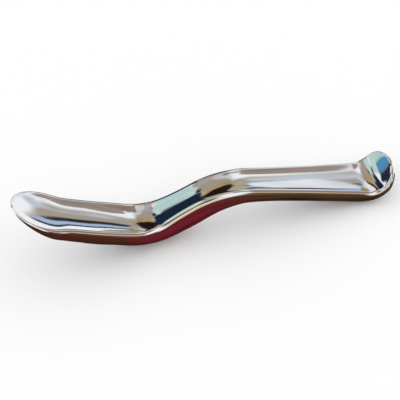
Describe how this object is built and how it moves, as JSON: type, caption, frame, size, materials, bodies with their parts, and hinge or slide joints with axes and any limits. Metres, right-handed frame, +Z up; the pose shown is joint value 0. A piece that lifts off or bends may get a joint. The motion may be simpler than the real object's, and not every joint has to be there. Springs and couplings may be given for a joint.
{
  "type": "handheld surgical retractor",
  "caption": "One-piece polished steel lever retractor with a dished rounded blade, an S-shaped neck, a dished flat handle and a turned-up round end.",
  "frame": {"origin": "centre of the bounding box's bottom face, on the table plane", "axes": "+X along the length, from the blade's tip to the round end; +Y across the width; +Z up from the table, with the dished face up"},
  "size_m": [0.25, 0.037, 0.0538],
  "materials": {
    "polished_steel": "polished"
  },
  "bodies": {
    "root": {"retractor": "polished_steel"}
  },
  "joints": []
}
